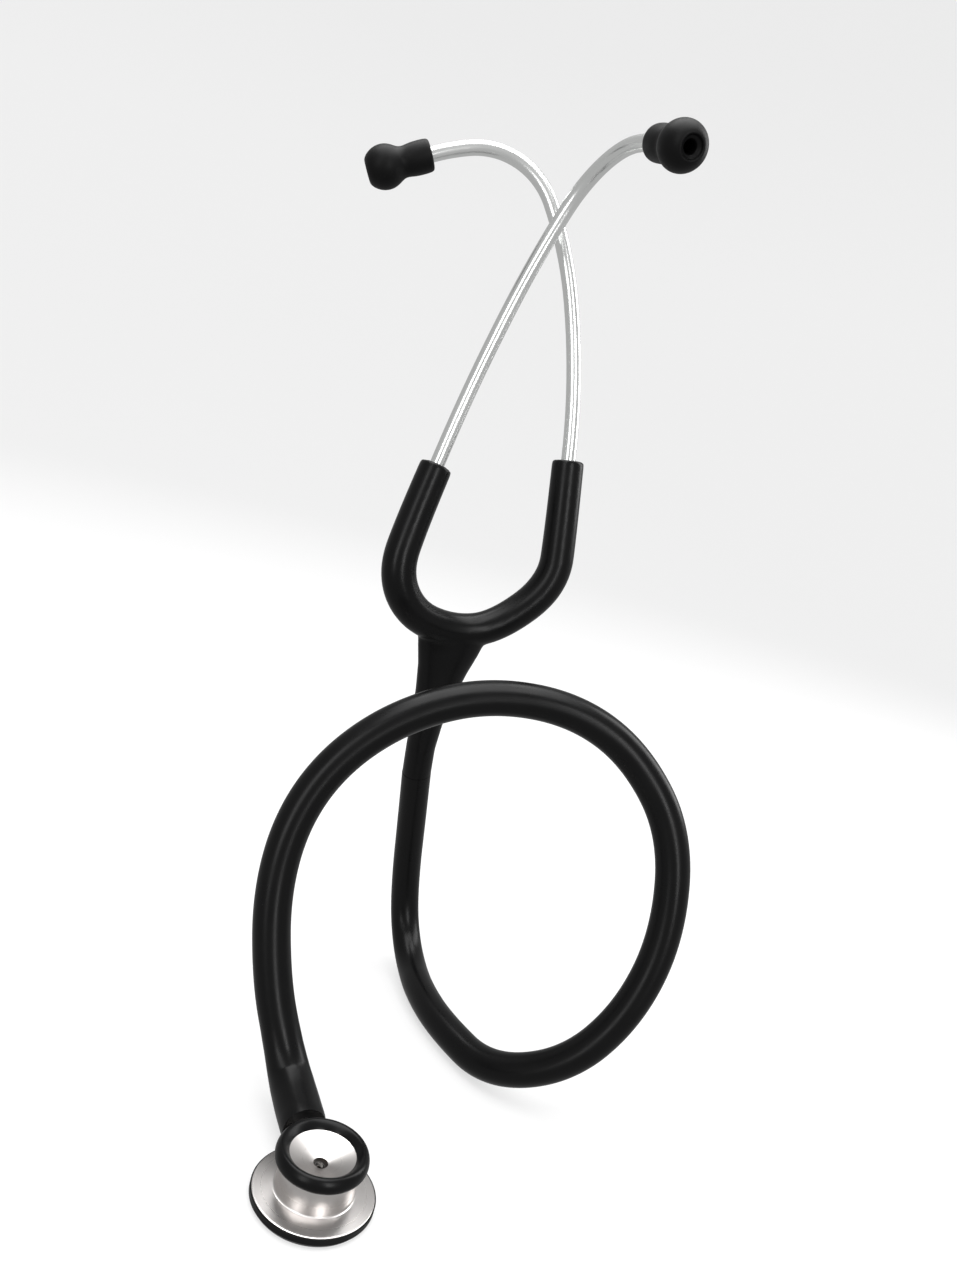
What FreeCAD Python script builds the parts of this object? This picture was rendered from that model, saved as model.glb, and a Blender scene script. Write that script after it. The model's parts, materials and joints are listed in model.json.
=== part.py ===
import FreeCAD, Part
import math
import os
import Sketcher
from FreeCAD import Placement, Rotation, Vector

# Dual-head acoustic stethoscope, standing on its diaphragm and on the bottom of its tube loop.
# Origin: centre of the diaphragm's outer face. +Z up through the bell, +Y along the stem, millimetres.

doc = FreeCAD.newDocument("stethoscope")

# ---------------------------------------------------------------- driving dimensions
DIMENSIONS = {
    # chestpiece, heights above the diaphragm's face
    "flange_inset": 0.35, "flange_top": 3.0, "flange_lip": 0.2, "flange_slope_top": 3.9,
    "waist_radius": 10.7, "waist_top": 12.2,
    "cavity_radius": 13.6, "cavity_peak": 2.2, "cavity_edge": 1.0, "seat_height": 0.8,
    "bell_neck_inset": 0.9, "bell_neck_low": 12.6, "bell_neck_high": 13.3,
    "bell_lip_radius": 11.0, "bell_lip_low": 13.5, "bell_lip_top": 14.5,
    "dish_inset": 1.1, "dish_edge": 14.25, "dish_floor_radius": 2.1, "dish_floor": 11.0,
    "bell_hole_radius": 1.9, "cavity_hole_radius": 1.4,
    # rubber ring on the bell
    "ring_fit": 0.05, "ring_wall": 1.5, "ring_low": 11.6, "ring_bulge": 13.2, "ring_top": 15.7,
    "ring_crown_inset": 1.5, "ring_mouth_inset": 1.1, "ring_mouth_gap": 0.06, "ring_round": 0.45,
    "ring_shoulder_inset": 0.8, "ring_shoulder": 15.0,
    # diaphragm and the black ring that clips it on
    "membrane_radius": 15.4, "membrane_face_radius": 13.4, "membrane_thickness": 0.35,
    "clip_radius": 16.75, "clip_opening_radius": 13.55, "clip_low": 0.1, "clip_play": 0.02,
    "clip_bevel_width": 0.85, "clip_bevel_top": 1.25,
    "clip_wall": 0.75, "groove_depth": 0.4, "groove_low": 1.5, "groove_high": 2.1, "groove_slope": 0.1,
    # rotating stem, measured along it from the chestpiece's axis
    "stem_axis_height": 7.6, "journal_radius": 2.7, "journal_clearance": 0.05, "journal_inner_end": 2.2,
    "airway_radius": 1.25, "collar_radius": 3.5, "collar_gap": 0.2, "tube_gap": 0.25,
    "spigot_radius": 3.0, "barb_radius": 3.4, "barb_at": 6.5, "barb_step": 0.4,
    "spigot_nose_radius": 2.6, "spigot_length": 10.5,
    "seal_at": 3.55, "seal_groove_depth": 0.75, "seal_groove_width": 1.1, "seal_section_radius": 0.43,
    "pin_at": 8.25, "pin_groove_depth": 0.6, "pin_groove_width": 1.3, "pin_radius": 0.55,
    "pin_low": 1.6, "pin_high": 10.8, "pin_play": 0.05,
    # detent that holds the chestpiece at bell or diaphragm
    "detent_at": 6.0, "ball_radius": 1.0, "ball_sink": 0.35, "ball_play": 0.04,
    "coil_radius": 0.72, "coil_wire_radius": 0.12, "coil_pitch": 0.5,
    "screw_radius": 1.45, "screw_start": 6.4, "screw_length": 2.2,
    "screw_hex_radius": 0.7, "screw_hex_depth": 1.2,
    # soft tubing
    "tube_radius": 5.6, "tube_bore_radius": 2.4,
    "arm_radius": 5.95, "neck_half_width": 5.3, "neck_half_depth": 5.25, "flare_mid_half_width": 8.2,
    "flare_half_width": 11.2, "flare_half_depth": 6.3, "yoke_bore_radius": 2.3,
    "neck_share": 0.4, "flare_mid_share": 0.7, "flare_share": 0.95,
    "leaf_thickness": 0.6, "leaf_width": 5.5, "leaf_offset": 4.0,
    # binaural tubes and eartips
    "eartube_radius": 2.55, "eartube_bore_radius": 1.95, "socket_depth": 15.0, "socket_clearance": 0.03,
    "sweep_radius": 270.0, "sweep_angle": 11.5, "rise_radius": 135.0, "rise_angle": 14.5,
    "hook_radius": 27.0, "hook_angle": 76.0, "end_radius": 75.0, "end_angle": 9.7,
    "left_extra": 7.1, "right_extra": 0.7, "eartube_end": 12.0,
    "eartip_length": 23.0, "eartip_ball_radius": 7.3,
    "eartip_collar_radius": 5.4, "eartip_collar_length": 9.0,
    "eartip_waist_radius": 4.7, "eartip_hole_radius": 2.0, "eartip_setback": 0.6,
    "core_radius": 3.7, "core_length": 11.0, "core_start": 1.2, "core_clearance": 0.02,
    # how far a cutting shape runs past the face that it cuts through
    "overcut": 1.0,
}
sheet = doc.addObject("Spreadsheet::Sheet", "dims")
for row, (alias, value) in enumerate(DIMENSIONS.items(), start=1):
    sheet.set(f"A{row}", alias)
    sheet.set(f"B{row}", str(value))
    sheet.setAlias(f"B{row}", alias)
doc.recompute()


def size(alias):
    """The value of one driving dimension."""
    return float(sheet.get(alias))


# Routes of the soft tubing and of the yoke's two arms, chosen point by point.
TUBE_ROUTE = [
    (0, 17, 7.6), (0, 33, 7.6), (-3, 41.5, 16), (-9, 49, 33), (-13, 57, 57.5), (-10.5, 61.5, 81),
    (0, 63.5, 101), (18, 62.5, 117.5), (41, 58.5, 128), (66.5, 50.5, 129.5), (87, 41.5, 120.5),
    (102.5, 30, 100), (105.5, 22.5, 69), (98.5, 20.5, 42), (85, 25.5, 19.5), (68, 42, 5.6),
    (60.5, 67, 5.6), (59.2, 87, 5.6), (61.5, 105, 5.6), (61.4, 116, 11.5), (60, 122, 21.7),
    (56.8, 122.5, 38.5), (52.7, 119.5, 58.5), (47.7, 115, 79.6),
]
ARM_ROUTE = [
    (25.3, 113.1, 190.5), (20.7, 110, 170.6), (18.1, 108, 152), (28, 108.2, 138.8), (45, 109, 135.5),
    (59.8, 107.6, 140.4), (75.1, 105, 159.7), (74.4, 106.6, 179.6), (71.9, 109.9, 203.6),
]
# Directions in which the two binaural tubes bend over towards their eartips.
LEFT_BEND = Vector(0.067, -0.988, 0.137)
RIGHT_BEND = Vector(-0.935, 0.324, -0.142)

# Share of the shorter of two runs that the arc between them takes up.
ROUTE_SHARE = 0.45


# ---------------------------------------------------------------- ways of making pieces
probe = doc.addObject("App::FeaturePython", "probe")
probe.addProperty("App::PropertyFloat", "Value")


def value_of(expression):
    """The number that an expression of the sheet's names stands for."""
    probe.setExpression("Value", expression)
    probe.recompute()
    return probe.Value


def turned_body(label, corners):
    """A PartDesign body turned about its Z axis from a closed profile of (radius, height) expressions."""
    body = doc.addObject("PartDesign::Body", label)
    sketch = body.newObject("Sketcher::SketchObject", label + "_profile")
    plane = next(item for item in body.Origin.OriginFeatures if item.Role == "XZ_Plane")
    sketch.AttachmentSupport = [(plane, "")]
    sketch.MapMode = "FlatFace"
    places = [Vector(value_of(radius), value_of(height), 0) for radius, height in corners]
    for index, place in enumerate(places):
        sketch.addGeometry(Part.LineSegment(place, places[(index + 1) % len(places)]), False)
    for index, (radius, height) in enumerate(corners):
        sketch.addConstraint(Sketcher.Constraint("Coincident", (index - 1) % len(corners), 2, index, 1))
        for kind, expression, distance in (
            ("DistanceX", radius, places[index].x),
            ("DistanceY", height, places[index].y),
        ):
            if expression == "0":
                axis = -2 if kind == "DistanceX" else -1
                sketch.addConstraint(Sketcher.Constraint("PointOnObject", index, 1, axis))
            else:
                held = sketch.addConstraint(Sketcher.Constraint(kind, -1, 1, index, 1, distance))
                sketch.setExpression(f"Constraints[{held}]", expression)
    turned = body.newObject("PartDesign::Revolution", label + "_turned")
    turned.Profile = sketch
    turned.ReferenceAxis = (sketch, ["V_Axis"])
    turned.Angle = 360.0
    doc.recompute()
    return body


def primitive(kind, label, sizes, base=(), turn=None):
    """A Part primitive whose sizes and base point are bound to the sheet, turned about one axis."""
    item = doc.addObject(kind, label)
    if turn:
        item.Placement = Placement(Vector(), Rotation(*turn))
    for name, expression in sizes.items():
        item.setExpression(name, expression)
    for letter, expression in zip("xyz", base):
        item.setExpression("Placement.Base." + letter, expression)
    return item


def combined(kind, label, first, *others):
    """One boolean of several objects: Part::Cut takes the others away, Part::MultiFuse joins them."""
    if kind == "Part::MultiFuse":
        item = doc.addObject(kind, label)
        item.Shapes = [first, *others]
        return item
    for number, other in enumerate(others):
        name = label if number == len(others) - 1 else f"{label}_cut_{number}"
        item = doc.addObject(kind, name)
        item.Base = first
        item.Tool = other
        first = item
    return first


def shaped(label, shape, placement=None):
    """A Part::Feature for a piece that follows a route in space."""
    item = doc.addObject("Part::Feature", label)
    item.Shape = shape
    if placement:
        item.Placement = placement
    return item


def rounded_route(points, name):
    """Straight runs joined by tangent arcs, each as large as 0.45 of its shorter run allows."""
    edges = []
    radii = []
    last = points[0]
    for before, corner, after in zip(points, points[1:], points[2:]):
        arriving = (corner - before).normalize()
        leaving = (after - corner).normalize()
        reach = ROUTE_SHARE * min(corner.distanceToPoint(before), after.distanceToPoint(corner))
        half_turn = arriving.getAngle(leaving) / 2
        radius = reach / math.tan(half_turn)
        radii.append(radius)
        start = corner - arriving * reach
        end = corner + leaving * reach
        inward = (leaving - arriving).normalize()
        middle = corner + inward * (radius / math.cos(half_turn) - radius)
        edges.append(Part.LineSegment(last, start).toShape())
        edges.append(Part.Arc(start, middle, end).toShape())
        last = end
    edges.append(Part.LineSegment(last, points[-1]).toShape())
    print(name, "bend radii", [round(radius, 1) for radius in radii])
    return Part.Wire(edges)


def circle_at(start, direction, radius):
    return Part.Wire([Part.makeCircle(radius, start, direction)])


def swept(route, radius):
    """A round bar along a route."""
    first = route.OrderedEdges[0]
    profile = circle_at(first.valueAt(first.FirstParameter), first.tangentAt(first.FirstParameter), radius)
    return route.makePipeShell([profile], True, False)


def ellipse_at(centre, across, half_width, half_depth):
    """A flat ellipse, level with the floor, as wide as stated along one direction."""
    curve = Part.Ellipse(Vector(), half_width, half_depth)
    angle = math.degrees(math.atan2(across.y, across.x))
    edge = curve.toShape()
    edge.Placement = Placement(centre, Rotation(Vector(0, 0, 1), angle))
    return Part.Wire([edge])


def bent_tube_route(start, direction, toward, extra):
    """The centreline of one binaural tube: straight in its socket, then four arcs towards its eartip."""
    aim = (toward - direction * toward.dot(direction)).normalize()
    point = start - direction * size("socket_depth")
    heading = Vector(direction)
    side = Vector(aim)
    edges = []
    place = start + direction * extra
    edges.append(Part.LineSegment(point, place).toShape())
    for arc in ("sweep", "rise", "hook", "end"):
        radius = size(arc + "_radius")
        angle = math.radians(size(arc + "_angle"))
        centre = place + side * radius
        middle = centre - side * (radius * math.cos(angle / 2)) + heading * (radius * math.sin(angle / 2))
        end = centre - side * (radius * math.cos(angle)) + heading * (radius * math.sin(angle))
        edges.append(Part.Arc(place, middle, end).toShape())
        turned_heading = heading * math.cos(angle) + side * math.sin(angle)
        side = side * math.cos(angle) - heading * math.sin(angle)
        heading = turned_heading
        place = end
    edges.append(Part.LineSegment(place, place + heading * size("eartube_end")).toShape())
    return Part.Wire(edges), place, heading


# ---------------------------------------------------------------- chestpiece
# The bell's neck and dish follow its lip. The clip ring sits round the flange's side, with a bead in
# the flange's groove, under a thin steel lip.
FLANGE_RADIUS = "dims.clip_radius - dims.flange_inset"
NECK_RADIUS = "dims.bell_lip_radius - dims.bell_neck_inset"
DISH_RADIUS = "dims.bell_lip_radius - dims.dish_inset"
CLIP_INSIDE = "dims.clip_radius - dims.clip_wall"
GROOVE_FLOOR = "dims.clip_radius - dims.clip_wall - dims.groove_depth"
turned_head = turned_body("head_blank", [
    ("0", "dims.cavity_peak"),
    ("dims.cavity_radius", "dims.cavity_edge"),
    ("dims.cavity_radius", "dims.seat_height"),
    (CLIP_INSIDE, "dims.seat_height"),
    (CLIP_INSIDE, "dims.groove_low"),
    (GROOVE_FLOOR, "dims.groove_low + dims.groove_slope"),
    (GROOVE_FLOOR, "dims.groove_high - dims.groove_slope"),
    (CLIP_INSIDE, "dims.groove_high"),
    (CLIP_INSIDE, "dims.flange_top - dims.flange_lip"),
    (FLANGE_RADIUS, "dims.flange_top - dims.flange_lip"),
    (FLANGE_RADIUS, "dims.flange_top"),
    ("dims.waist_radius", "dims.flange_slope_top"),
    ("dims.waist_radius", "dims.waist_top"),
    (NECK_RADIUS, "dims.bell_neck_low"),
    (NECK_RADIUS, "dims.bell_neck_high"),
    ("dims.bell_lip_radius", "dims.bell_lip_low"),
    ("dims.bell_lip_radius", "dims.bell_lip_top"),
    (DISH_RADIUS, "dims.bell_lip_top"),
    (DISH_RADIUS, "dims.dish_edge"),
    ("dims.dish_floor_radius", "dims.dish_floor"),
    ("0", "dims.dish_floor"),
])
ALONG_Y = (Vector(1, 0, 0), -90)
ALONG_X = (Vector(0, 1, 0), 90)
bell_hole = primitive(
    "Part::Cylinder", "bell_hole",
    {"Radius": "dims.bell_hole_radius", "Height": "dims.dish_floor - dims.stem_axis_height + dims.overcut"},
    ("0", "0", "dims.stem_axis_height"),
)
cavity_hole = primitive(
    "Part::Cylinder", "cavity_hole",
    {"Radius": "dims.cavity_hole_radius", "Height": "dims.stem_axis_height"},
)
stem_bore = primitive(
    "Part::Cylinder", "stem_bore",
    {"Radius": "dims.journal_radius + dims.journal_clearance",
     "Height": f"dims.journal_inner_end + {FLANGE_RADIUS} + dims.journal_clearance"},
    ("0", "-dims.journal_inner_end - dims.journal_clearance", "dims.stem_axis_height"), ALONG_Y,
)
PIN_CENTRE = "dims.pin_groove_depth - dims.journal_radius - dims.pin_radius - dims.pin_play"
pin_hole = primitive(
    "Part::Cylinder", "pin_hole",
    {"Radius": "dims.pin_radius", "Height": "dims.pin_high"},
    (PIN_CENTRE, "dims.pin_at", "0"),
)
ball_hole = primitive(
    "Part::Cylinder", "ball_hole",
    {"Radius": "dims.ball_radius + dims.ball_play", "Height": "dims.waist_radius"},
    ("0", "dims.detent_at", "dims.stem_axis_height"), ALONG_X,
)
screw_hole = primitive(
    "Part::Cylinder", "screw_hole",
    {"Radius": "dims.screw_radius", "Height": "dims.waist_radius"},
    ("dims.screw_start", "dims.detent_at", "dims.stem_axis_height"), ALONG_X,
)
chestpiece_body = combined(
    "Part::Cut", "chestpiece_body",
    turned_head, bell_hole, cavity_hole, stem_bore, pin_hole, ball_hole, screw_hole,
)

# The ring covers the wider of the waist and the lip, and its mouth stays just above the dish's cone.
RING_RADIUS = "max(dims.waist_radius; dims.bell_lip_radius) + dims.ring_wall"
MOUTH_RADIUS = DISH_RADIUS + " - dims.ring_mouth_inset"
CONE_SLOPE = f"(dims.dish_edge - dims.dish_floor) / ({DISH_RADIUS} - dims.dish_floor_radius)"
MOUTH_HEIGHT = (
    f"dims.dish_floor + ({MOUTH_RADIUS} - dims.dish_floor_radius) * {CONE_SLOPE} + dims.ring_mouth_gap"
)
bell_rim = turned_body("bell_rim", [
    ("dims.waist_radius + dims.ring_fit", "dims.waist_top - dims.ring_round / 2"),
    (RING_RADIUS + " - dims.ring_round", "dims.ring_low"),
    (RING_RADIUS, "dims.ring_low + dims.ring_round"),
    (RING_RADIUS, "dims.ring_bulge"),
    (RING_RADIUS + " - dims.ring_shoulder_inset", "dims.ring_shoulder"),
    (RING_RADIUS + " - dims.ring_crown_inset", "dims.ring_top"),
    (DISH_RADIUS + " + dims.ring_round", "dims.ring_top"),
    (MOUTH_RADIUS + " + dims.ring_round", "dims.bell_lip_top + dims.ring_round"),
    (MOUTH_RADIUS, MOUTH_HEIGHT),
    (DISH_RADIUS + " - dims.ring_fit", "dims.dish_edge + dims.ring_fit"),
    (DISH_RADIUS + " - dims.ring_fit", "dims.bell_lip_top + dims.ring_fit"),
    ("dims.bell_lip_radius + dims.ring_fit", "dims.bell_lip_top + dims.ring_fit"),
    ("dims.bell_lip_radius + dims.ring_fit", "dims.bell_lip_low - dims.ring_fit"),
    (NECK_RADIUS + " + dims.ring_fit", "dims.bell_neck_high - dims.ring_fit"),
    (NECK_RADIUS + " + dims.ring_fit", "dims.bell_neck_low + dims.ring_fit"),
    ("dims.waist_radius + dims.ring_fit", "dims.waist_top + dims.ring_fit"),
])

diaphragm = turned_body("diaphragm", [
    ("0", "0"),
    ("dims.membrane_face_radius", "0"),
    ("dims.membrane_face_radius", "dims.seat_height - dims.membrane_thickness"),
    ("dims.membrane_radius", "dims.seat_height - dims.membrane_thickness"),
    ("dims.membrane_radius", "dims.seat_height"),
    ("dims.membrane_face_radius - dims.membrane_thickness", "dims.seat_height"),
    ("dims.membrane_face_radius - dims.membrane_thickness", "dims.membrane_thickness"),
    ("0", "dims.membrane_thickness"),
])

diaphragm_rim = turned_body("diaphragm_rim", [
    ("dims.clip_opening_radius", "dims.clip_low"),
    ("dims.clip_radius - dims.clip_bevel_width", "dims.clip_low"),
    ("dims.clip_radius", "dims.clip_bevel_top"),
    ("dims.clip_radius", "dims.flange_top - dims.flange_lip - dims.clip_play"),
    (CLIP_INSIDE + " + dims.clip_play", "dims.flange_top - dims.flange_lip - dims.clip_play"),
    (CLIP_INSIDE + " + dims.clip_play", "dims.groove_high - dims.clip_play"),
    (GROOVE_FLOOR + " + dims.clip_play", "dims.groove_high - dims.groove_slope - dims.clip_play"),
    (GROOVE_FLOOR + " + dims.clip_play", "dims.groove_low + dims.groove_slope + dims.clip_play"),
    (CLIP_INSIDE + " + dims.clip_play", "dims.groove_low + dims.clip_play"),
    (CLIP_INSIDE + " + dims.clip_play", "dims.seat_height"),
    ("dims.membrane_radius + dims.clip_play", "dims.seat_height"),
    ("dims.membrane_radius + dims.clip_play", "dims.seat_height - dims.membrane_thickness"),
    ("dims.clip_opening_radius", "dims.seat_height - dims.membrane_thickness"),
])

# ---------------------------------------------------------------- stem, its seal, pin and detent
# The collar starts clear of the waist and ends clear of the clip ring, so the tubing passes both.
COLLAR_START = "dims.waist_radius + dims.collar_gap"
COLLAR_END = "dims.clip_radius + dims.tube_gap"
SEAL_FLOOR = "dims.journal_radius - dims.seal_groove_depth"
PIN_FLOOR = "dims.journal_radius - dims.pin_groove_depth"
stem_blank = turned_body("stem_blank", [
    ("0", "-dims.journal_inner_end"),
    ("dims.journal_radius", "-dims.journal_inner_end"),
    ("dims.journal_radius", "dims.seal_at - dims.seal_groove_width / 2"),
    (SEAL_FLOOR, "dims.seal_at - dims.seal_groove_width / 2"),
    (SEAL_FLOOR, "dims.seal_at + dims.seal_groove_width / 2"),
    ("dims.journal_radius", "dims.seal_at + dims.seal_groove_width / 2"),
    ("dims.journal_radius", "dims.pin_at - dims.pin_groove_width / 2"),
    (PIN_FLOOR, "dims.pin_at - dims.pin_groove_width / 2"),
    (PIN_FLOOR, "dims.pin_at + dims.pin_groove_width / 2"),
    ("dims.journal_radius", "dims.pin_at + dims.pin_groove_width / 2"),
    ("dims.journal_radius", COLLAR_START),
    ("dims.collar_radius", COLLAR_START),
    ("dims.collar_radius", COLLAR_END),
    ("dims.spigot_radius", COLLAR_END),
    ("dims.spigot_radius", COLLAR_END + " + dims.barb_at"),
    ("dims.barb_radius", COLLAR_END + " + dims.barb_at + dims.barb_step"),
    ("dims.spigot_nose_radius", COLLAR_END + " + dims.spigot_length"),
    ("0", COLLAR_END + " + dims.spigot_length"),
])
stem_blank.Placement = Placement(Vector(0, 0, size("stem_axis_height")), Rotation(*ALONG_Y))
stem_blank.setExpression("Placement.Base.z", "dims.stem_axis_height")
airway = primitive(
    "Part::Cylinder", "airway",
    {"Radius": "dims.airway_radius",
     "Height": COLLAR_END + " + dims.spigot_length + dims.airway_radius + dims.overcut"},
    ("0", "-dims.airway_radius / 2", "dims.stem_axis_height"), ALONG_Y,
)
port = primitive(
    "Part::Cylinder", "port",
    {"Radius": "dims.airway_radius", "Height": "dims.journal_radius + dims.overcut"},
    ("0", "0", "dims.stem_axis_height"),
)
dimples = [
    primitive(
        "Part::Sphere", f"dimple_{name}", {"Radius": "dims.ball_radius + dims.ball_play"},
        (f"{sign}(dims.journal_radius + dims.ball_radius - dims.ball_sink)",
         "dims.detent_at", "dims.stem_axis_height"),
    )
    for name, sign in (("bell", ""), ("diaphragm", "-"))
]
stem = combined("Part::Cut", "stem", stem_blank, airway, port, *dimples)

stem_seal = primitive(
    "Part::Torus", "stem_seal",
    {"Radius1": "dims.journal_radius - dims.seal_section_radius + dims.journal_clearance / 2",
     "Radius2": "dims.seal_section_radius"},
    ("0", "dims.seal_at", "dims.stem_axis_height"), ALONG_Y,
)
stem_pin = primitive(
    "Part::Cylinder", "stem_pin",
    {"Radius": "dims.pin_radius", "Height": "dims.pin_high - dims.pin_low"},
    (PIN_CENTRE, "dims.pin_at", "dims.pin_low"),
)
BALL_CENTRE = "dims.journal_radius + dims.ball_radius - dims.ball_sink"
detent_ball = primitive(
    "Part::Sphere", "detent_ball", {"Radius": "dims.ball_radius"},
    (BALL_CENTRE, "dims.detent_at", "dims.stem_axis_height"),
)
coil_start = value_of(BALL_CENTRE) + size("ball_radius") - size("coil_wire_radius")
coil = Part.makeHelix(size("coil_pitch"), size("screw_start") - coil_start - 2 * size("coil_wire_radius"),
                      size("coil_radius"))
coil_wire = Part.Wire(coil).makePipeShell(
    [circle_at(Vector(size("coil_radius"), 0, 0), Vector(0, 1, 0), size("coil_wire_radius"))], True, True,
)
detent_spring = shaped(
    "detent_spring", coil_wire,
    Placement(
        Vector(coil_start + size("coil_wire_radius"), size("detent_at"), size("stem_axis_height")),
        Rotation(*ALONG_X),
    ),
)
screw_blank = primitive(
    "Part::Cylinder", "screw_blank", {"Radius": "dims.screw_radius", "Height": "dims.screw_length"},
    ("dims.screw_start", "dims.detent_at", "dims.stem_axis_height"), ALONG_X,
)
screw_hex = primitive(
    "Part::Prism", "screw_hex",
    {"Circumradius": "dims.screw_hex_radius", "Height": "dims.screw_hex_depth + dims.overcut"},
    ("dims.screw_start + dims.screw_length - dims.screw_hex_depth",
     "dims.detent_at", "dims.stem_axis_height"), ALONG_X,
)
detent_screw = combined("Part::Cut", "detent_screw", screw_blank, screw_hex)

# ---------------------------------------------------------------- soft tubing
doc.recompute()
tube_points = [Vector(*point) for point in TUBE_ROUTE]
tube_points[0] = Vector(0, value_of(COLLAR_END), size("stem_axis_height"))
tube_points[1].z = size("stem_axis_height")
arm_points = [Vector(*point) for point in ARM_ROUTE]
tube_route = rounded_route(tube_points, "tube")
tube_bore = swept(tube_route, size("tube_bore_radius"))
tube_bar = swept(tube_route, size("tube_radius"))
tube = shaped("tube", tube_bar.cut(tube_bore).cut(stem.Shape))
tube_section = math.pi * size("tube_radius") ** 2
print("tube length", round(tube_route.Length, 1), "bar over section times length",
      round(tube_bar.Volume / (tube_section * tube_route.Length), 4))

# The yoke: a neck that carries on from the tube and flares into two arms, moulded in one piece.
neck_low = tube_points[-1]
neck_way = (tube_points[-1] - tube_points[-2]).normalize()
saddle = arm_points[len(arm_points) // 2]
across = Vector(arm_points[-1] - arm_points[0])
across.z = 0
across.normalize()
neck_sections = [circle_at(neck_low, neck_way, size("tube_radius"))]
for share, half_width, half_depth in (
    (size("neck_share"), size("neck_half_width"), size("neck_half_depth")),
    (size("flare_mid_share"), size("flare_mid_half_width"), size("arm_radius")),
    (size("flare_share"), size("flare_half_width"), size("flare_half_depth")),
):
    centre = neck_low + (saddle - neck_low) * share
    neck_sections.append(ellipse_at(centre, across, half_width, half_depth))
neck = Part.makeLoft(neck_sections, True, False)
arm_route = rounded_route(arm_points, "yoke arms")
arms = swept(arm_route, size("arm_radius"))
neck_bore = Part.makeCylinder(
    size("yoke_bore_radius"), saddle.distanceToPoint(neck_low) + size("overcut"),
    neck_low - neck_way * size("overcut"), saddle - neck_low,
)
arm_bore = swept(arm_route, size("yoke_bore_radius"))

# The flat steel spring lies in the outer wall of the arms and of the saddle between them.
arms_normal = (arm_points[0] - saddle).cross(arm_points[-1] - saddle).normalize()
spring_points = arm_points[1:-1]
spring_route = rounded_route(spring_points, "leaf spring")
spring_way = (spring_points[1] - spring_points[0]).normalize()
outward = spring_way.cross(arms_normal).normalize()
if outward.dot(saddle - spring_points[0]) > 0:
    outward = -outward
flat_way = outward.cross(spring_way).normalize()
spring_corners = [
    spring_points[0] + outward * (size("leaf_offset") + thick) + flat_way * wide
    for thick, wide in (
        (0, -size("leaf_width") / 2), (0, size("leaf_width") / 2),
        (size("leaf_thickness"), size("leaf_width") / 2), (size("leaf_thickness"), -size("leaf_width") / 2),
    )
]
spring_profile = Part.makePolygon(spring_corners + spring_corners[:1])
leaf_sweep = Part.BRepOffsetAPI.MakePipeShell(spring_route)
leaf_sweep.setBiNormalMode(arms_normal)
leaf_sweep.add(spring_profile, False, False)
leaf_sweep.build()
leaf_sweep.makeSolid()
leaf_spring = shaped("leaf_spring", leaf_sweep.shape())

# ---------------------------------------------------------------- binaural tubes and eartips
moulding = arms.fuse(neck).cut(neck_bore).cut(arm_bore)
for side, tip, bend, extra in (
    ("left", arm_points[0], LEFT_BEND, size("left_extra")),
    ("right", arm_points[-1], RIGHT_BEND, size("right_extra")),
):
    inner = arm_points[1] if side == "left" else arm_points[-2]
    way = (tip - inner).normalize()
    route, end, heading = bent_tube_route(tip, way, bend, extra)
    bar = swept(route, size("eartube_radius"))
    shaped("eartube_" + side, bar.cut(swept(route, size("eartube_bore_radius"))))
    socket = Part.makeCylinder(
        size("eartube_radius") + size("socket_clearance"), size("socket_depth") + size("overcut"),
        tip - way * (size("socket_depth") + size("socket_clearance")), way,
    )
    moulding = moulding.cut(socket)
    seat = Placement(end, Rotation(Vector(0, 0, 1), heading))
    print(side, "eartube", round(route.Length, 1), "ends at", end, "heading", heading)

    core_blank = turned_body("eartip_core_" + side, [
        ("dims.eartube_radius + dims.core_clearance", "dims.core_start"),
        ("dims.core_radius", "dims.core_start"),
        ("dims.core_radius", "dims.core_start + dims.core_length"),
        ("dims.eartube_radius + dims.core_clearance", "dims.core_start + dims.core_length"),
    ])
    core_blank.Placement = seat
    ball = primitive("Part::Sphere", "ball_" + side, {"Radius": "dims.eartip_ball_radius"},
                     ("0", "0", "dims.eartip_length - dims.eartip_ball_radius + dims.eartip_setback"))
    collar = primitive(
        "Part::Cylinder", "collar_" + side,
        {"Radius": "dims.eartip_collar_radius", "Height": "dims.eartip_collar_length"},
        ("0", "0", "dims.eartip_setback"),
    )
    waist = primitive(
        "Part::Cylinder", "waist_" + side,
        {"Radius": "dims.eartip_waist_radius", "Height": "dims.eartip_length - dims.eartip_ball_radius"},
        ("0", "0", "dims.eartip_setback"),
    )
    hole = primitive(
        "Part::Cylinder", "hole_" + side,
        {"Radius": "dims.eartip_hole_radius",
         "Height": "dims.eartip_length + dims.eartip_setback + dims.overcut"},
    )
    core_room = primitive(
        "Part::Cylinder", "core_room_" + side,
        {"Radius": "dims.core_radius", "Height": "dims.core_length + dims.core_start"},
    )
    solid_tip = combined("Part::MultiFuse", "tip_blank_" + side, ball, collar, waist)
    eartip = combined("Part::Cut", "eartip_" + side, solid_tip, hole, core_room)
    eartip.Placement = seat
yoke = shaped("yoke", moulding.cut(leaf_spring.Shape))

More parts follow.
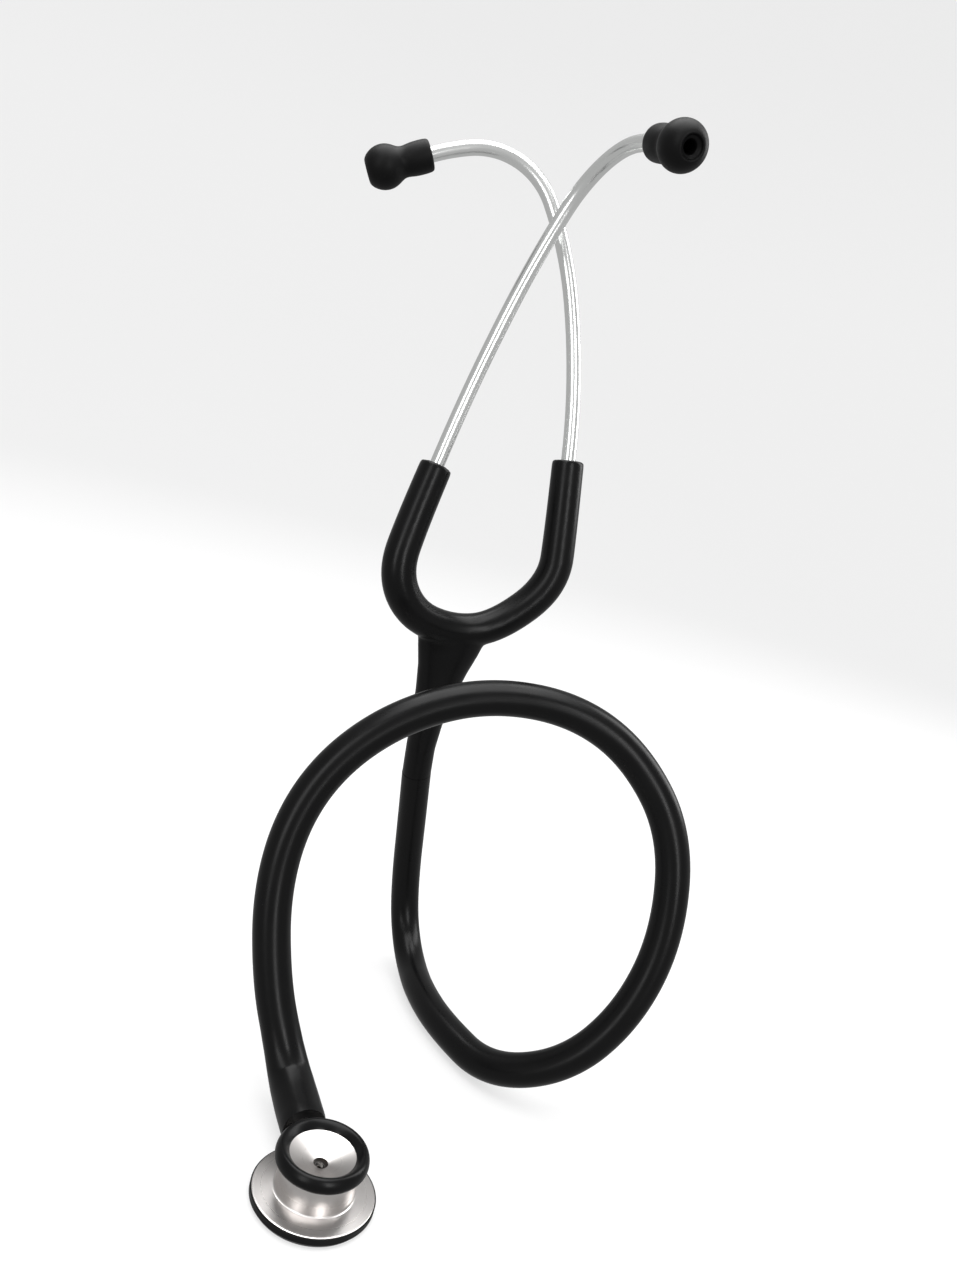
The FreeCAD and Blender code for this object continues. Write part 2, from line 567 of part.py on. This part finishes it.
# ---------------------------------------------------------------- check and write every piece
PIECES = [
    "chestpiece_body", "bell_rim", "diaphragm", "diaphragm_rim", "stem", "stem_seal", "stem_pin",
    "detent_ball", "detent_spring", "detent_screw", "tube", "yoke", "leaf_spring",
    "eartube_left", "eartube_right", "eartip_left", "eartip_right", "eartip_core_left", "eartip_core_right",
]
doc.recompute()
for item in doc.Objects:
    if "Invalid" in item.State or "Error" in item.State:
        raise RuntimeError(f"{item.Label} failed: {item.State}")
os.makedirs("parts", exist_ok=True)
for label in PIECES:
    shape = doc.getObjectsByLabel(label)[0].Shape
    if shape.isNull() or not shape.isValid() or not shape.Solids:
        raise RuntimeError(f"{label} has no valid solid")
    shape.exportStep(f"parts/{label}.step")
    print(label, "volume", round(shape.Volume, 2), "solids", len(shape.Solids))
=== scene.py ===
import json
import math

import bmesh
import bpy
import numpy as np
from mathutils import Matrix, Vector


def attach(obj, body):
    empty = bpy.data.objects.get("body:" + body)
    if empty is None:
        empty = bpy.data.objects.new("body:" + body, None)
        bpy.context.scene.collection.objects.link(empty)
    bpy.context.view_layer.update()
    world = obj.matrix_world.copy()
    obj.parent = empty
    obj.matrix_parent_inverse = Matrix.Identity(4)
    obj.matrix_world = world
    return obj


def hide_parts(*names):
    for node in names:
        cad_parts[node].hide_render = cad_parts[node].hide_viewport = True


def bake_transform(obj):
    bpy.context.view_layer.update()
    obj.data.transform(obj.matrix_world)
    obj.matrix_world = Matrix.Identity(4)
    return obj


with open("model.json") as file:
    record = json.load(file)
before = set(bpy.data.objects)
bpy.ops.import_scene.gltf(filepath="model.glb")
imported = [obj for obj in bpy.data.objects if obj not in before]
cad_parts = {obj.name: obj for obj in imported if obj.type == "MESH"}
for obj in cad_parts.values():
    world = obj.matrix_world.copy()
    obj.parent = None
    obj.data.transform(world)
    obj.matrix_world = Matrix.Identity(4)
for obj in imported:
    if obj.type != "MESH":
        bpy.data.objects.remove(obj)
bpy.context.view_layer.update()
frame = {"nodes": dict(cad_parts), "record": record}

MM = 0.001

# ---------------------------------------------------------------- camera
# A standing product view, a little above the chestpiece and looking slightly down along the loop.
# The three directions are the camera's own right, up and ahead.
camera_right = Vector((0.8962, -0.3643, 0.2531))
camera_up = Vector((-0.1620, 0.2623, 0.9513))
camera_ahead = Vector((0.4129, 0.8936, -0.1761))
camera = bpy.data.objects.new("camera", bpy.data.cameras.new("camera"))
camera.data.sensor_fit = "VERTICAL"
camera.data.sensor_height = 36.0
camera.data.lens = 28.125
camera.data.clip_start = 0.01
camera.matrix_world = Matrix((camera_right, camera_up, -camera_ahead)).transposed().to_4x4()
camera.location = (-0.0932, -0.2129, 0.1976)
bpy.context.collection.objects.link(camera)
bpy.context.scene.camera = camera

# ---------------------------------------------------------------- soft tubing
# One length of black plasticised vinyl tubing, pushed over the stem's barb at the chestpiece.
# It stands in a loop by its own stiffness, rests on the floor behind, and rises into the yoke.
TUBE_ROUTE = [
    (0, 17, 7.6), (0, 33, 7.6), (-3, 41.5, 16), (-9, 49, 33), (-13, 57, 57.5), (-10.5, 61.5, 81),
    (0, 63.5, 101), (18, 62.5, 117.5), (41, 58.5, 128), (66.5, 50.5, 129.5), (87, 41.5, 120.5),
    (102.5, 30, 100), (105.5, 22.5, 69), (98.5, 20.5, 42), (85, 25.5, 19.5), (68, 42, 5.6),
    (60.5, 67, 5.6), (59.2, 87, 5.6), (61.5, 105, 5.6), (61.4, 116, 11.5), (60, 122, 21.7),
    (56.8, 122.5, 38.5), (52.7, 119.5, 58.5), (47.7, 115, 79.6),
]
# Outside diameter against distance from the stem: stretched over the barb, then slowly thinner.
TUBE_DIAMETERS = [
    (0, 12.3), (1, 12.8), (9, 13.0), (16, 12.8), (22, 12.2), (27, 11.7), (34, 11.4), (130, 11.4),
    (180, 11.2), (270, 10.95), (325, 10.7), (380, 10.8), (520, 10.8),
]


def spline_points(route, steps=16):
    """Points along the smooth spline that a route's points control."""
    data = bpy.data.curves.new("route", "CURVE")
    data.dimensions = "3D"
    spline = data.splines.new("NURBS")
    spline.points.add(len(route) - 1)
    for point, place in zip(spline.points, route):
        point.co = (place[0] * MM, place[1] * MM, place[2] * MM, 1)
    spline.order_u = 3
    spline.use_endpoint_u = True
    spline.resolution_u = steps
    holder = bpy.data.objects.new("route", data)
    bpy.context.collection.objects.link(holder)
    line = bpy.data.meshes.new_from_object(holder)
    points = [vertex.co.copy() for vertex in line.vertices]
    bpy.data.objects.remove(holder)
    bpy.data.meshes.remove(line)
    return points


def distances(points):
    """How far along the line each of its points is."""
    along = [0.0]
    for before, after in zip(points, points[1:]):
        along.append(along[-1] + (after - before).length)
    return along


def sweep_mesh(name, points, half_sizes, wide_way=None, sides=40):
    """A closed bar along points. half_sizes gives each section's half width and half depth."""
    shape = bmesh.new()
    rings = []
    previous = None
    for index, point in enumerate(points):
        ahead = points[min(index + 1, len(points) - 1)] - points[max(index - 1, 0)]
        ahead.normalize()
        if previous is None:
            previous = wide_way or ahead.orthogonal()
        first = (previous - ahead * previous.dot(ahead)).normalized()
        second = ahead.cross(first)
        previous = first
        wide, deep = half_sizes[index]
        rings.append([
            shape.verts.new(point + first * wide * math.cos(turn) + second * deep * math.sin(turn))
            for turn in (2 * math.pi * side / sides for side in range(sides))
        ])
    for low, high in zip(rings, rings[1:]):
        for side in range(sides):
            beside = (side + 1) % sides
            shape.faces.new((low[side], low[beside], high[beside], high[side]))
    shape.faces.new(list(reversed(rings[0])))
    shape.faces.new(rings[-1])
    bmesh.ops.recalc_face_normals(shape, faces=shape.faces)
    mesh = bpy.data.meshes.new(name)
    shape.to_mesh(mesh)
    shape.free()
    piece = bpy.data.objects.new(name, mesh)
    bpy.context.collection.objects.link(piece)
    return piece


def smooth_shaded(piece, degrees=40):
    """Smooth shading, with edges sharper than the angle kept crisp."""
    piece.data.shade_smooth()
    piece.data.set_sharp_from_angle(angle=math.radians(degrees))
    return piece


def finish_nodes(name, colour, roughness, metallic=0.0):
    """A new material with its shader, and a function that makes and links its nodes."""
    material = bpy.data.materials.new(name)
    material.use_nodes = True
    shader = material.node_tree.nodes["Principled BSDF"]
    shader.inputs["Base Color"].default_value = (*colour, 1)
    shader.inputs["Roughness"].default_value = roughness
    shader.inputs["Metallic"].default_value = metallic
    return material, shader, material.node_tree


def add_grain(tree, shader, scale, depth, spread, middle):
    """Fine moulded grain: noise lifts the surface a little and varies its gloss."""
    place = tree.nodes.new("ShaderNodeTexCoord")
    grain = tree.nodes.new("ShaderNodeTexNoise")
    grain.inputs["Scale"].default_value = scale
    grain.inputs["Detail"].default_value = 6
    tree.links.new(place.outputs["Object"], grain.inputs["Vector"])
    lift = tree.nodes.new("ShaderNodeBump")
    lift.inputs["Strength"].default_value = 0.25
    lift.inputs["Distance"].default_value = depth
    tree.links.new(grain.outputs["Fac"], lift.inputs["Height"])
    tree.links.new(lift.outputs["Normal"], shader.inputs["Normal"])
    patches = tree.nodes.new("ShaderNodeTexNoise")
    patches.inputs["Scale"].default_value = scale / 25
    patches.inputs["Detail"].default_value = 3
    tree.links.new(place.outputs["Object"], patches.inputs["Vector"])
    gloss = tree.nodes.new("ShaderNodeMapRange")
    gloss.inputs["From Min"].default_value = 0.3
    gloss.inputs["From Max"].default_value = 0.7
    gloss.inputs["To Min"].default_value = middle - spread
    gloss.inputs["To Max"].default_value = middle + spread
    tree.links.new(patches.outputs["Fac"], gloss.inputs["Value"])
    tree.links.new(gloss.outputs["Result"], shader.inputs["Roughness"])


def tubing_vinyl():
    """Black vinyl with a satin skin, faintly uneven from extruding."""
    material, shader, tree = finish_nodes("tubing_vinyl", (0.0015, 0.0015, 0.0016), 0.3)
    shader.inputs["Specular IOR Level"].default_value = 0.18
    add_grain(tree, shader, scale=2600, depth=0.000006, spread=0.04, middle=0.3)
    return material


vinyl = tubing_vinyl()
tube_line = spline_points(TUBE_ROUTE)
tube_radii = [
    0.5 * MM * np.interp(
        along / MM, [place for place, _ in TUBE_DIAMETERS], [across for _, across in TUBE_DIAMETERS]
    )
    for along in distances(tube_line)
]
tubing = sweep_mesh("soft_tubing", tube_line, [(radius, radius) for radius in tube_radii])
tubing.data.materials.append(vinyl)
smooth_shaded(tubing)
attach(tubing, "tubing")
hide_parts("tube")

# ---------------------------------------------------------------- yoke
# The Y where the tubing divides, moulded in one with it over a flat steel spring.
# Its stem widens into a flattened web, and two round arms grip the metal tubes.
ARM_ROUTE = [
    (25.3, 113.1, 190.5), (20.7, 110, 170.6), (18.1, 108, 152), (28, 108.2, 138.8), (45, 109, 135.5),
    (60.4, 107.6, 140.2), (76.7, 104.8, 159.5), (74.7, 106.6, 179.6), (71.9, 109.9, 203.6),
]
# Arm diameter against share of the way from one arm's end to the other's.
ARM_DIAMETERS = [(0, 11.4), (0.15, 11.8), (0.3, 12.3), (0.5, 12.0), (0.7, 12.3), (0.85, 11.8), (1, 11.4)]
# Share of the way up the stem from the tube's end to the saddle, with the half width and depth there.
STEM_SECTIONS = [
    (-0.08, 5.0, 5.0), (0, 5.38, 5.38), (0.2, 5.4, 5.4), (0.39, 5.95, 5.6), (0.58, 7.35, 5.8),
    (0.75, 9.3, 5.9), (0.88, 11.4, 6.0), (0.97, 12.6, 5.6),
]
YOKE_VOXEL = 0.0006
YOKE_SMOOTHING = 14

arm_line = spline_points(ARM_ROUTE)
arm_along = distances(arm_line)
arm_radii = [
    0.5 * MM * np.interp(
        along / arm_along[-1], [share for share, _ in ARM_DIAMETERS], [size for _, size in ARM_DIAMETERS]
    )
    for along in arm_along
]
arms = sweep_mesh("yoke_arms", arm_line, [(radius, radius) for radius in arm_radii])
arm_to_arm = arm_line[-1] - arm_line[0]
arm_to_arm.z = 0
arm_to_arm.normalize()
saddle = Vector(ARM_ROUTE[4]) * MM
tube_end = Vector(TUBE_ROUTE[-1]) * MM
stem_rise = saddle - tube_end
# The stem leaves the tube in line with it, then straightens towards the saddle.
tube_way = (tube_end - Vector(TUBE_ROUTE[-2]) * MM).normalized() * stem_rise.length
stem_line = [
    tube_end + stem_rise * share + (tube_way - stem_rise) * share * (1 - share) ** 2
    for share, _, _ in STEM_SECTIONS
]
yoke_mesh_piece = sweep_mesh(
    "yoke_whole", stem_line, [(wide * MM, deep * MM) for _, wide, deep in STEM_SECTIONS], arm_to_arm
)


def apply_modifiers(piece):
    """Makes a piece's modifiers part of its mesh."""
    bpy.context.view_layer.update()
    ready = piece.evaluated_get(bpy.context.evaluated_depsgraph_get())
    mesh = bpy.data.meshes.new_from_object(ready)
    old = piece.data
    piece.modifiers.clear()
    piece.data = mesh
    bpy.data.meshes.remove(old)
    return piece


joined = bmesh.new()
joined.from_mesh(yoke_mesh_piece.data)
joined.from_mesh(arms.data)
joined.to_mesh(yoke_mesh_piece.data)
joined.free()
bpy.data.objects.remove(arms)
remesh = yoke_mesh_piece.modifiers.new("one_skin", "REMESH")
remesh.mode = "VOXEL"
remesh.voxel_size = YOKE_VOXEL
blend_in = yoke_mesh_piece.modifiers.new("moulded_fillets", "SMOOTH")
blend_in.factor = 0.5
blend_in.iterations = YOKE_SMOOTHING
apply_modifiers(yoke_mesh_piece)

whole_mesh = yoke_mesh_piece.data
whole_mesh.shade_smooth()
for side, sign, arm_start, arm_end in (
    ("left", -1, ARM_ROUTE[3], ARM_ROUTE[1]),
    ("right", 1, ARM_ROUTE[5], ARM_ROUTE[7]),
):
    half = bmesh.new()
    half.from_mesh(whole_mesh)
    half.normal_update()
    normal_layer = half.verts.layers.float_vector.new("whole_normal")
    for vertex in half.verts:
        vertex[normal_layer] = vertex.normal
    bmesh.ops.bisect_plane(
        half, geom=half.verts[:] + half.edges[:] + half.faces[:], dist=1e-7,
        plane_co=saddle, plane_no=arm_to_arm * sign, clear_inner=True,
    )
    mesh = bpy.data.meshes.new("yoke_half_" + side)
    normals = [vertex[normal_layer].normalized() for vertex in half.verts]
    half.to_mesh(mesh)
    half.free()
    mesh.shade_smooth()
    mesh.normals_split_custom_set_from_vertices(normals)
    mesh.materials.append(vinyl)
    yoke_half = bpy.data.objects.new("yoke_half_" + side, mesh)
    bpy.context.collection.objects.link(yoke_half)
    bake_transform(yoke_half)
    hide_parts("yoke", "leaf_spring")
bpy.data.objects.remove(yoke_mesh_piece)

# ---------------------------------------------------------------- binaural tubes
# Two thin bent metal tubes, drawn and polished, pushed into the yoke's arms.
# Their slight unevenness softens the reflections.


def polished_tube_metal():
    """Drawn, polished tube with a slight unevenness that softens its reflections."""
    material, shader, tree = finish_nodes("polished_tube_metal", (0.86, 0.87, 0.86), 0.24, 1.0)
    add_grain(tree, shader, scale=900, depth=0.000002, spread=0.03, middle=0.24)
    return material


bright_metal = polished_tube_metal()


def give(node, material):
    """Puts a finish on a CAD node whose shape is already right."""
    piece = frame["nodes"][node]
    if not piece.material_slots:
        piece.data.materials.append(material)
    for slot in piece.material_slots:
        slot.material = material


for side in ("left", "right"):
    give("eartube_" + side, bright_metal)

# ---------------------------------------------------------------- eartips
# Soft black mushroom tips, each with a round head, a waist and a collar, moulded round a stiff insert.
# A sound hole runs down the middle of each head and opens in a shallow cup.
# The outline is half of a section: distance from the axis, and distance along it from the tube's bend.
EARTIP_OUTLINE = [
    (2.75, 0.7), (4.5, 0.6), (5.2, 1.0), (5.45, 2.4), (5.5, 5.5), (5.3, 8.0), (4.95, 9.8), (5.1, 11.4),
    (6.1, 13.0), (7.0, 14.8), (7.35, 16.8), (7.15, 18.9), (6.4, 20.9), (5.2, 22.5), (4.2, 23.2),
    (3.65, 23.4), (3.35, 23.25), (3.25, 22.8), (2.9, 22.35), (2.2, 22.1), (1.9, 21.7), (1.85, 20.5),
    (1.85, 13.5),
]


def turned_mesh(name, outline, closed, sides=96, levels=2):
    """A mesh turned about Z from an outline of radius and height, then subdivided smooth."""
    shape = bmesh.new()
    rings = [
        [
            shape.verts.new((
                radius * MM * math.cos(2 * math.pi * side / sides),
                radius * MM * math.sin(2 * math.pi * side / sides),
                height * MM,
            ))
            for side in range(sides)
        ]
        for radius, height in outline
    ]
    pairs = list(zip(rings, rings[1:]))
    if closed:
        pairs.append((rings[-1], rings[0]))
    for low, high in pairs:
        for side in range(sides):
            beside = (side + 1) % sides
            shape.faces.new((low[side], low[beside], high[beside], high[side]))
    bmesh.ops.recalc_face_normals(shape, faces=shape.faces)
    mesh = bpy.data.meshes.new(name)
    shape.to_mesh(mesh)
    shape.free()
    piece = bpy.data.objects.new(name, mesh)
    bpy.context.collection.objects.link(piece)
    if levels:
        rounding = piece.modifiers.new("rounding", "SUBSURF")
        rounding.levels = levels
        rounding.render_levels = levels
        apply_modifiers(piece)
    piece.data.shade_smooth()
    return piece


def eartip_rubber():
    """Soft matte rubber with a skin-like grain."""
    material, shader, tree = finish_nodes("eartip_rubber", (0.0012, 0.0012, 0.0013), 0.5)
    shader.inputs["Specular IOR Level"].default_value = 0.15
    add_grain(tree, shader, scale=3200, depth=0.00003, spread=0.05, middle=0.5)
    return material


soft_rubber = eartip_rubber()
EARTIP_REACH = 23.6 * MM
mounts = {mount["name"]: mount for mount in frame["record"]["mounts"]}
for side in ("left", "right"):
    ear = mounts[side + "_ear"]
    way = Vector(ear["axis"]).normalized()
    eartip = turned_mesh("eartip_soft_" + side, EARTIP_OUTLINE, closed=False, sides=48)
    turn = way.to_track_quat("Z", "Y").to_matrix().to_4x4()
    base = Vector(ear["pos_m"]) - way * EARTIP_REACH
    eartip.data.transform(Matrix.Translation(base) @ turn)
    eartip.data.materials.append(soft_rubber)
    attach(eartip, side + "_eartip")
    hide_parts("eartip_" + side)
    give("eartip_core_" + side, soft_rubber)

# ---------------------------------------------------------------- chestpiece
# A head turned from stainless steel, left with fine concentric tool marks, on a hollow steel stem.
# The shallow dish on top is the bell, and the wide flange below carries the diaphragm.


def turned_steel(name, colour, roughness):
    """Satin steel with concentric turning rings, which draw the highlight out into fans."""
    material, shader, tree = finish_nodes(name, colour, roughness, 1.0)
    shader.inputs["Anisotropic"].default_value = 0.65
    place = tree.nodes.new("ShaderNodeTexCoord")
    apart = tree.nodes.new("ShaderNodeSeparateXYZ")
    tree.links.new(place.outputs["Object"], apart.inputs["Vector"])
    flat = tree.nodes.new("ShaderNodeCombineXYZ")
    tree.links.new(apart.outputs["X"], flat.inputs["X"])
    tree.links.new(apart.outputs["Y"], flat.inputs["Y"])
    radius = tree.nodes.new("ShaderNodeVectorMath")
    radius.operation = "LENGTH"
    tree.links.new(flat.outputs["Vector"], radius.inputs[0])
    spiral = tree.nodes.new("ShaderNodeMath")
    spiral.operation = "ADD"
    tree.links.new(radius.outputs["Value"], spiral.inputs[0])
    tree.links.new(apart.outputs["Z"], spiral.inputs[1])
    rings = tree.nodes.new("ShaderNodeTexNoise")
    rings.noise_dimensions = "1D"
    rings.inputs["Scale"].default_value = 5200
    rings.inputs["Detail"].default_value = 3
    tree.links.new(spiral.outputs["Value"], rings.inputs["W"])
    lift = tree.nodes.new("ShaderNodeBump")
    lift.inputs["Strength"].default_value = 0.2
    lift.inputs["Distance"].default_value = 0.00002
    tree.links.new(rings.outputs["Fac"], lift.inputs["Height"])
    tree.links.new(lift.outputs["Normal"], shader.inputs["Normal"])
    around = tree.nodes.new("ShaderNodeTangent")
    around.direction_type = "RADIAL"
    around.axis = "Z"
    tree.links.new(around.outputs["Tangent"], shader.inputs["Tangent"])
    gloss = tree.nodes.new("ShaderNodeMapRange")
    gloss.inputs["To Min"].default_value = roughness - 0.06
    gloss.inputs["To Max"].default_value = roughness + 0.06
    tree.links.new(rings.outputs["Fac"], gloss.inputs["Value"])
    tree.links.new(gloss.outputs["Result"], shader.inputs["Roughness"])
    return material


def painted_shade_bore():
    """The drilled sound way: dull, and dark brown as painted shade where the bore falls into shadow."""
    material, shader, tree = finish_nodes("painted_shade_bore", (0.022, 0.016, 0.012), 0.6, 0.4)
    add_grain(tree, shader, scale=2000, depth=0.00002, spread=0.06, middle=0.6)
    return material


# The painted shade in the bore ends where the small round at its mouth begins.
PAINTED_SHADE_RADIUS = 2.05 * MM
head_steel = turned_steel("head_steel", (0.66, 0.635, 0.62), 0.3)
stem_steel = turned_steel("stem_steel", (0.62, 0.61, 0.6), 0.25)

# The head's section: bell hole, dish, lip, neck, waist, flange and the hollow behind the diaphragm.
# Every corner is broken by a small round, with a point close by on each side to hold it crisp.
HEAD_OUTLINE = [
    (1.9, 3.0), (1.9, 10.5), (1.9, 10.8), (1.98, 10.97), (2.2, 11.06), (2.6, 11.21), (9.3, 14.0),
    (9.6, 14.13), (9.8, 14.24), (9.9, 14.4), (10.05, 14.5), (10.3, 14.5), (10.7, 14.5), (10.92, 14.46),
    (11.0, 14.35), (11.0, 14.1), (11.0, 13.6), (10.1, 13.3), (10.1, 12.6), (10.55, 12.35),
    (10.7, 12.2), (10.7, 12.0), (10.7, 4.7), (10.7, 4.4), (10.74, 4.18), (10.86, 4.0), (11.08, 3.88),
    (11.4, 3.79), (15.8, 3.09), (16.1, 3.05), (16.32, 3.0), (16.4, 2.92), (16.4, 2.84), (16.3, 2.8),
    (16.0, 2.8), (16.0, 0.8), (13.6, 0.8), (13.6, 1.0), (1.9, 2.1),
]
# Holes drilled through the waist, for the stem and for the screw behind the detent ball:
# name, radius, length, middle and direction.
WAIST_HOLES = [
    ("stem_way", 2.75, 14.0, (0, 10.0, 7.6), Vector((0, 1, 0))),
    ("screw_way", 1.45, 4.0, (8.4, 6.0, 7.6), Vector((1, 0, 0))),
]
turned_head = turned_mesh("turned_head", HEAD_OUTLINE, closed=True, sides=192, levels=0)
for cutter_name, radius, length, place, way in WAIST_HOLES:
    cutter = turned_mesh(
        cutter_name, [(radius, -length / 2), (radius, length / 2)], closed=False, sides=64, levels=0
    )
    capped = bmesh.new()
    capped.from_mesh(cutter.data)
    bmesh.ops.holes_fill(capped, edges=[edge for edge in capped.edges if edge.is_boundary])
    bmesh.ops.recalc_face_normals(capped, faces=capped.faces)
    capped.to_mesh(cutter.data)
    capped.free()
    turn = way.to_track_quat("Z", "Y").to_matrix().to_4x4()
    cutter.data.transform(Matrix.Translation(Vector(place) * MM) @ turn)
    drilled = turned_head.modifiers.new(cutter_name, "BOOLEAN")
    drilled.operation = "DIFFERENCE"
    drilled.solver = "EXACT"
    drilled.object = cutter
    apply_modifiers(turned_head)
    bpy.data.objects.remove(cutter)
turned_head.data.materials.clear()
turned_head.data.materials.append(head_steel)
turned_head.data.materials.append(painted_shade_bore())
# Faces inside the bore take the dark material: painted shade for the shadowed hole.
for face in turned_head.data.polygons:
    if face.center.xy.length < PAINTED_SHADE_RADIUS:
        face.material_index = 1
smooth_shaded(turned_head, 35)
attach(turned_head, "chestpiece")
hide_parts("chestpiece_body")
for node in ("stem", "stem_pin", "detent_ball", "detent_spring", "detent_screw"):
    give(node, stem_steel)

# ---------------------------------------------------------------- bell ring
# A soft black ring stretched over the bell's lip, so that cold steel doesn't touch the skin.
BELL_RING_OUTLINE = [
    (10.8, 12.1), (11.5, 11.65), (12.2, 11.8), (12.52, 12.5), (12.55, 13.4), (12.35, 14.4), (11.85, 15.25),
    (11.2, 15.72), (10.55, 15.6), (9.9, 15.1), (9.2, 14.4), (8.8, 13.9), (8.95, 13.7), (9.6, 14.1),
    (9.95, 14.4), (11.05, 14.55), (11.05, 13.45), (10.4, 12.8),
]
bell_ring = turned_mesh("bell_ring", BELL_RING_OUTLINE, closed=True)
bell_ring.data.materials.append(vinyl)
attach(bell_ring, "chestpiece")
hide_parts("bell_rim")

# ---------------------------------------------------------------- diaphragm and its clip ring
# A stiff resin sheet with a stepped edge, clipped under the flange by a black moulded ring.


def clip_plastic():
    """Black moulded plastic, satin from the mould."""
    material, shader, tree = finish_nodes("clip_plastic", (0.0015, 0.0015, 0.0016), 0.4)
    shader.inputs["Specular IOR Level"].default_value = 0.2
    add_grain(tree, shader, scale=2800, depth=0.00002, spread=0.05, middle=0.4)
    return material


def membrane_sheet():
    """Cream resin-filled sheet with a faint weave-like grain."""
    material, shader, tree = finish_nodes("membrane_sheet", (0.55, 0.54, 0.5), 0.35)
    add_grain(tree, shader, scale=1800, depth=0.00003, spread=0.06, middle=0.35)
    return material


give("diaphragm_rim", clip_plastic())
give("diaphragm", membrane_sheet())
give("stem_seal", soft_rubber)

# ---------------------------------------------------------------- floor and light
# A pale sweep that curves up all round, lit by large soft boxes over a dim room.
# Its own faint glow evens out the light between floor and wall.
FLOOR_RADIUS = 2.6
FLOOR_HOLE = 0.02
WALL_BEND = 0.8
WALL_TOP = 2.4
BEND_STEPS = 12
sweep_profile = [(FLOOR_HOLE, 0), (0.5, 0), (1.2, 0), (FLOOR_RADIUS - WALL_BEND, 0)]
for step in range(1, BEND_STEPS + 1):
    bend = math.pi / 2 * step / BEND_STEPS
    sweep_profile.append((
        FLOOR_RADIUS - WALL_BEND + WALL_BEND * math.sin(bend), WALL_BEND - WALL_BEND * math.cos(bend),
    ))
sweep_profile.append((FLOOR_RADIUS, WALL_TOP))
backdrop = turned_mesh(
    "backdrop", [(radius / MM, height / MM) for radius, height in sweep_profile],
    closed=False, levels=0,
)
paved = bmesh.new()
paved.from_mesh(backdrop.data)
bmesh.ops.holes_fill(paved, edges=[
    edge for edge in paved.edges if edge.is_boundary and edge.verts[0].co.length < 2 * FLOOR_HOLE
])
paved.to_mesh(backdrop.data)
paved.free()
paper, paper_shader, _ = finish_nodes("pale_paper", (0.25, 0.25, 0.25), 0.9)
paper_shader.inputs["Emission Color"].default_value = (1, 1, 1, 1)
paper_shader.inputs["Emission Strength"].default_value = 0.63
backdrop.data.materials.append(paper)
backdrop.visible_glossy = False

world = bpy.data.worlds.new("studio")
world.use_nodes = True
world.node_tree.nodes["Background"].inputs["Color"].default_value = (1, 1, 1, 1)
world.node_tree.nodes["Background"].inputs["Strength"].default_value = 0.45
bpy.context.scene.world = world
bpy.context.scene.view_settings.view_transform = "Standard"

LIGHT_TARGET = Vector((0.045, 0.06, 0.14))
# Soft boxes: name, place, width, height and watts.
SOFT_BOXES = [
    ("top_box", (-0.1, 0.1, 1.2), 1.3, 1.1, 20),
    ("left_box", (-1.0, -0.75, 0.5), 0.35, 1.1, 5),
    ("right_box", (1.0, 0.1, 0.8), 0.5, 1.1, 8),
    ("front_box", (0.16, -1.3, 0.5), 0.22, 0.9, 6),
]
for name, place, wide, high, watts in SOFT_BOXES:
    box = bpy.data.objects.new(name, bpy.data.lights.new(name, "AREA"))
    box.data.shape = "RECTANGLE"
    box.data.size = wide
    box.data.size_y = high
    box.data.energy = watts
    box.location = place
    box.rotation_euler = (LIGHT_TARGET - Vector(place)).to_track_quat("-Z", "Y").to_euler()
    bpy.context.collection.objects.link(box)
